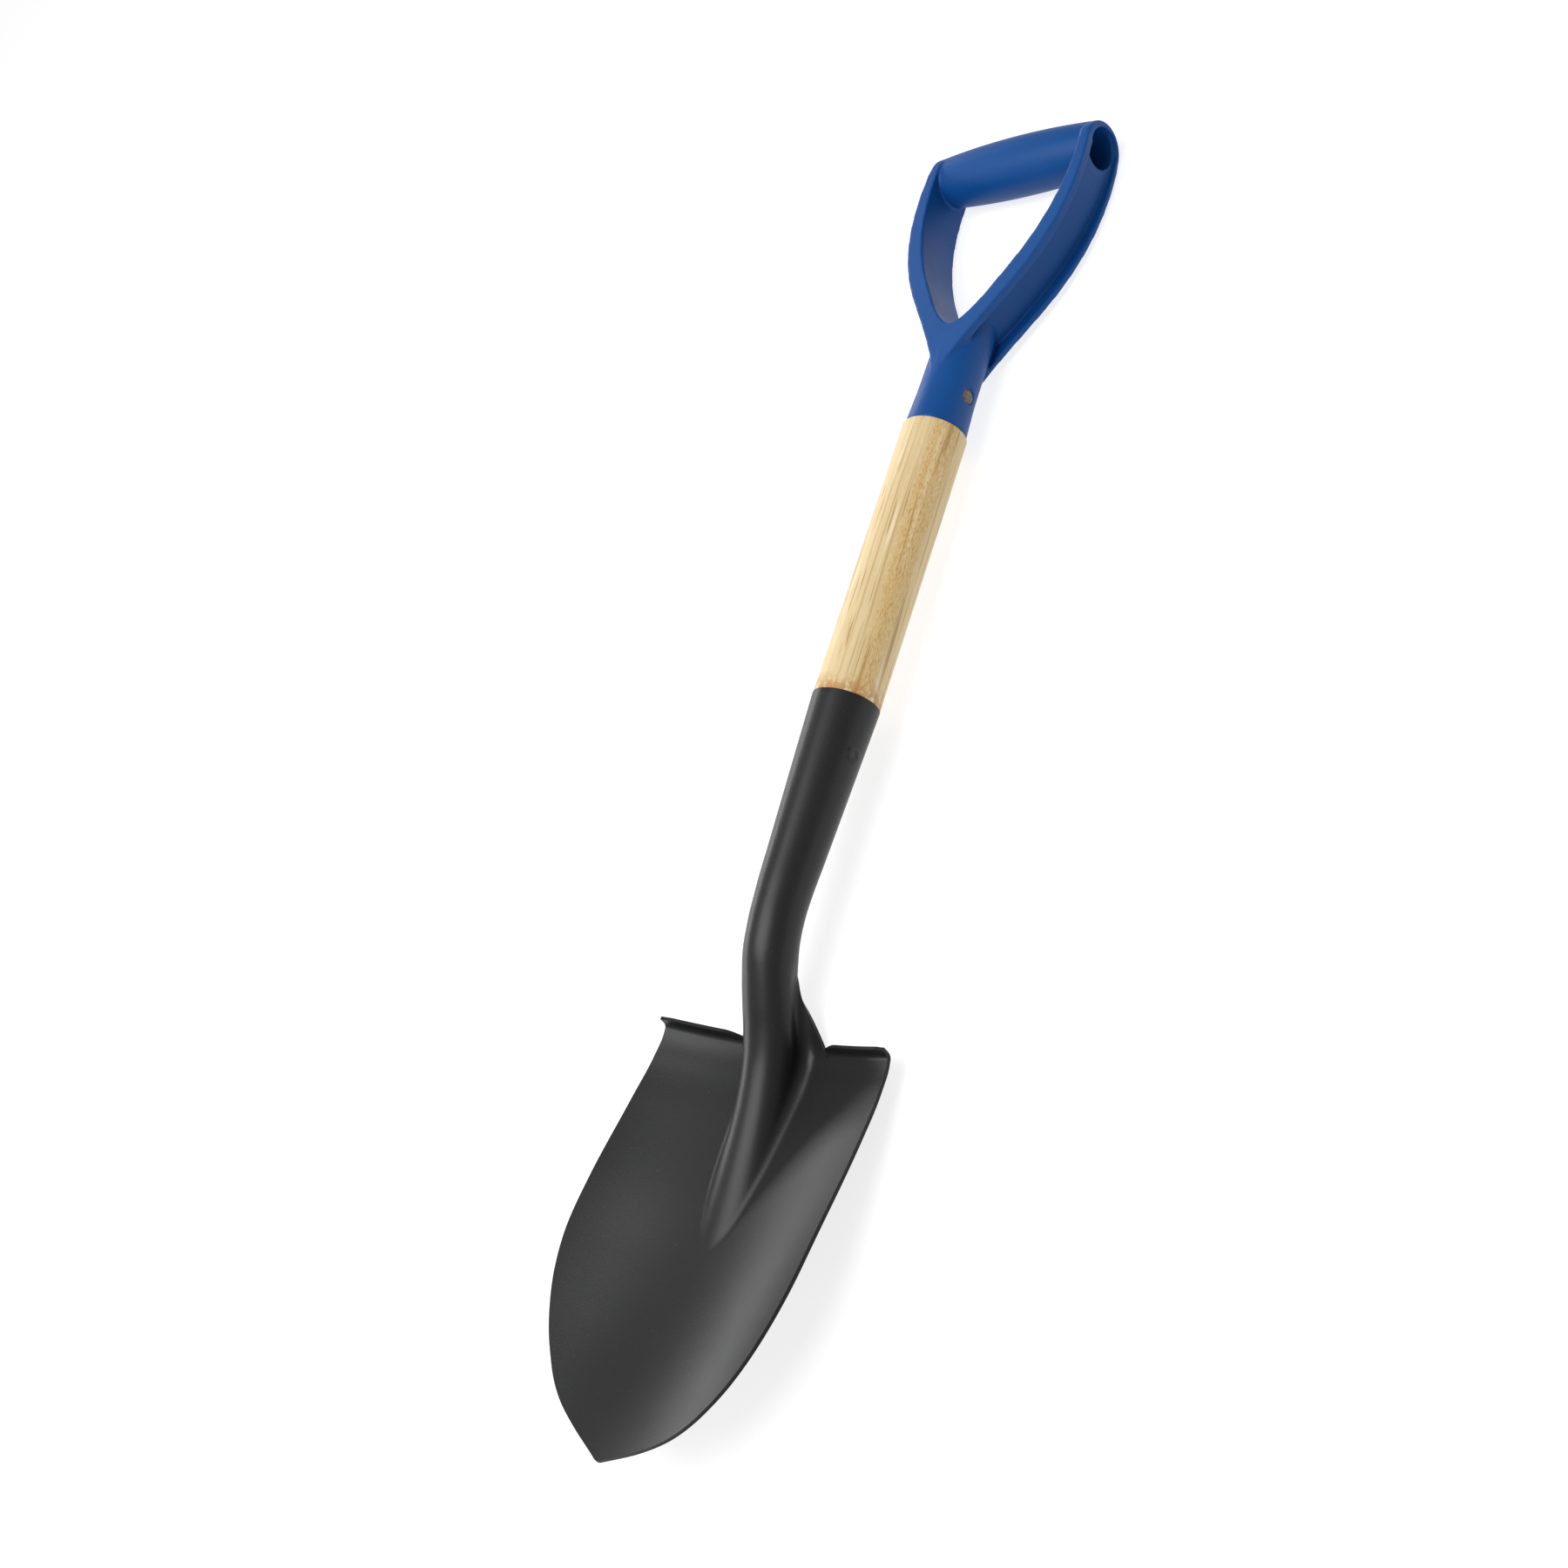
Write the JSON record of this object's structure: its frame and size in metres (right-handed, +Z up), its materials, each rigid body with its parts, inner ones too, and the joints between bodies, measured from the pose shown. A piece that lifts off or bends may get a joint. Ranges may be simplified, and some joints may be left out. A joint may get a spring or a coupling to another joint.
{
  "type": "garden spade",
  "caption": "Short digging spade with a pressed steel round-point blade, foot treads, conical socket, wooden shaft and a moulded D-shaped hand grip.",
  "frame": {"origin": "centre of the bounding box in X and Y, on the surface the spade lies on", "axes": "+X along the spade from the blade's point to the grip, +Y across the blade, +Z up, out of the working face: the spade lies on its back"},
  "size_m": [0.786, 0.1664, 0.0527],
  "materials": {
    "painted_steel": "black satin paint",
    "shaft_wood": "light ash, clear varnish",
    "grip_plastic": "blue moulded polypropylene, satin",
    "rivet_steel": "dull dark steel"
  },
  "bodies": {
    "root": {"blade_head": "painted_steel", "shaft": "shaft_wood", "d_grip": "grip_plastic", "grip_rivet": "rivet_steel", "socket_rivet": "painted_steel"}
  },
  "joints": []
}
